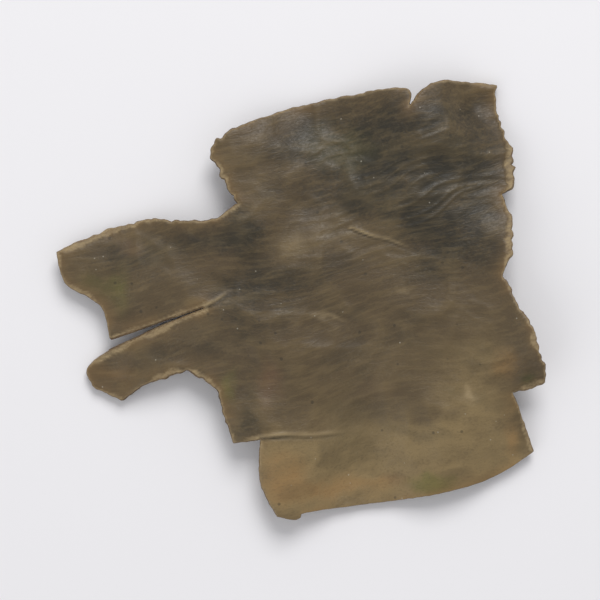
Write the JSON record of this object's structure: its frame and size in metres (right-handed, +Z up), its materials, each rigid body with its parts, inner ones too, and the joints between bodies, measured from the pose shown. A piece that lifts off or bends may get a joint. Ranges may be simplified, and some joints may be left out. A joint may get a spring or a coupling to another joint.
{
  "type": "dried kombu flake",
  "caption": "Flake of dried kombu seaweed: a thin, leathery, gently waved blade with torn sides, a narrow tear between its tongues and a clean cut edge, lying flat.",
  "frame": {"origin": "under the middle of the flake's box, on the surface it rests on", "axes": "+Z up out of the surface; +X towards the side opposite the two tongues; +Y from the clean cut edge towards the far edge"},
  "size_m": [0.0334, 0.0302, 0.0038],
  "materials": {
    "dried_kombu": "satin, dark olive brown, with fine wrinkles along the blade, orange brown patches, paler torn edges and traces of pale bloom"
  },
  "bodies": {
    "root": {"kombu_flake": "dried_kombu"}
  },
  "joints": []
}
